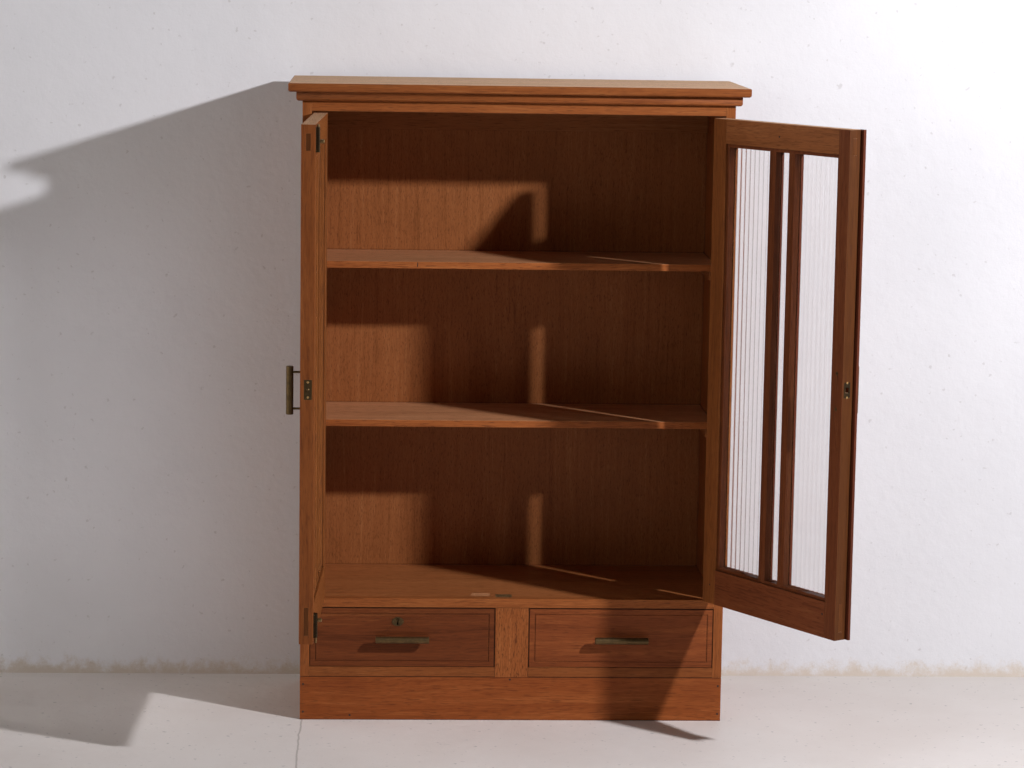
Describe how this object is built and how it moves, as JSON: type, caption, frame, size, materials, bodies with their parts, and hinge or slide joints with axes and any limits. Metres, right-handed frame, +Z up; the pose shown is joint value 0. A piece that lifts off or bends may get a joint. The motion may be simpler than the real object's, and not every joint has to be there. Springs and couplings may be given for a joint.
{
  "type": "shop display cabinet",
  "caption": "Free-standing wooden display cabinet with framed doors glazed in reeded glass, open shelves inside and drawers below, brass bar pulls and a moulded top.",
  "frame": {"origin": "middle of the plinth board's underside, on the floor", "axes": "+Z up, +X to the right seen from the front, front of the cabinet towards -Y"},
  "size_m": [1.2752, 0.8842, 1.502],
  "materials": {
    "carcass_wood": "satin",
    "door_wood": "satin",
    "dark_wood": "satin",
    "reeded_glass": "gloss",
    "aged_brass": "satin"
  },
  "bodies": {
    "carcass": {"back_panel": "carcass_wood", "back_top_rail": "carcass_wood", "bottom_board": "dark_wood", "cabinet_floor": "carcass_wood", "cornice_moulding": "carcass_wood", "drawer_divider": "carcass_wood", "drawer_guide": "carcass_wood", "frame_hinge_leaves": "aged_brass", "frieze_rail": "carcass_wood", "hinge_pins": "aged_brass", "left_side": "carcass_wood", "mid_rail": "carcass_wood", "plinth": "carcass_wood", "right_side": "carcass_wood", "shelf_cleats": "carcass_wood", "shelves": "carcass_wood", "strike_plates": "aged_brass", "top_board": "carcass_wood"},
    "left_drawer": {"drawer_escutcheon": "aged_brass", "drawer_lock_case": "aged_brass", "left_drawer_back": "carcass_wood", "left_drawer_bar": "aged_brass", "left_drawer_bottom": "carcass_wood", "left_drawer_front": "dark_wood", "left_drawer_posts": "aged_brass", "left_drawer_sides": "carcass_wood"},
    "drawer_lock_bolt": {"drawer_lock_bolt": "aged_brass"},
    "left_door": {"left_bolt_cases": "aged_brass", "left_bottom_rail": "door_wood", "left_catch_case": "aged_brass", "left_glass_panes": "reeded_glass", "left_glazing_beads": "door_wood", "left_hinge_leaves": "aged_brass", "left_hinge_stile": "door_wood", "left_meeting_stile": "door_wood", "left_muntins": "door_wood", "left_pull_bar": "aged_brass", "left_pull_posts": "aged_brass", "left_top_rail": "door_wood"},
    "left_bottom_bolt": {"left_bottom_bolt": "aged_brass"},
    "left_catch_ball": {"left_catch_ball": "aged_brass"},
    "left_top_bolt": {"left_top_bolt": "aged_brass"},
    "right_door": {"right_astragal": "dark_wood", "right_bottom_rail": "door_wood", "right_catch_plate": "aged_brass", "right_glass_panes": "reeded_glass", "right_glazing_beads": "door_wood", "right_hinge_leaves": "aged_brass", "right_hinge_stile": "door_wood", "right_meeting_stile": "door_wood", "right_muntins": "door_wood", "right_pull_bar": "aged_brass", "right_pull_posts": "aged_brass", "right_top_rail": "door_wood"},
    "right_drawer": {"right_drawer_back": "carcass_wood", "right_drawer_bar": "aged_brass", "right_drawer_bottom": "carcass_wood", "right_drawer_front": "dark_wood", "right_drawer_posts": "aged_brass", "right_drawer_sides": "carcass_wood"}
  },
  "joints": [
    {"name": "left_door_hinge", "type": "hinge", "parent": "carcass", "child": "left_door", "pos_m": [-0.47725, -0.0144, 0.8655], "axis": [0, 0, -1], "range_deg": [-92, 83]},
    {"name": "right_door_hinge", "type": "hinge", "parent": "carcass", "child": "right_door", "pos_m": [0.47725, -0.0144, 0.8655], "axis": [0, 0, 1], "range_deg": [-122, 53]},
    {"name": "left_drawer_slide", "type": "slide", "parent": "carcass", "child": "left_drawer", "axis": [0, -1, 0], "range_m": [0, 0.28]},
    {"name": "right_drawer_slide", "type": "slide", "parent": "carcass", "child": "right_drawer", "axis": [0, -1, 0], "range_m": [0, 0.28]},
    {"name": "left_top_bolt_slide", "type": "slide", "parent": "left_door", "child": "left_top_bolt", "axis": [0, 0, 1], "range_m": [0, 0.012]},
    {"name": "left_bottom_bolt_slide", "type": "slide", "parent": "left_door", "child": "left_bottom_bolt", "axis": [0, 0, -1], "range_m": [0, 0.012]},
    {"name": "catch_ball_slide", "type": "slide", "parent": "left_door", "child": "left_catch_ball", "axis": [0.0349, 0.9994, 0], "range_m": [0, 0.003], "stiffness_N_per_m": 2000, "springref_m": -0.001},
    {"name": "drawer_lock_bolt_slide", "type": "slide", "parent": "left_drawer", "child": "drawer_lock_bolt", "axis": [0, 0, 1], "range_m": [0, 0.008]}
  ]
}
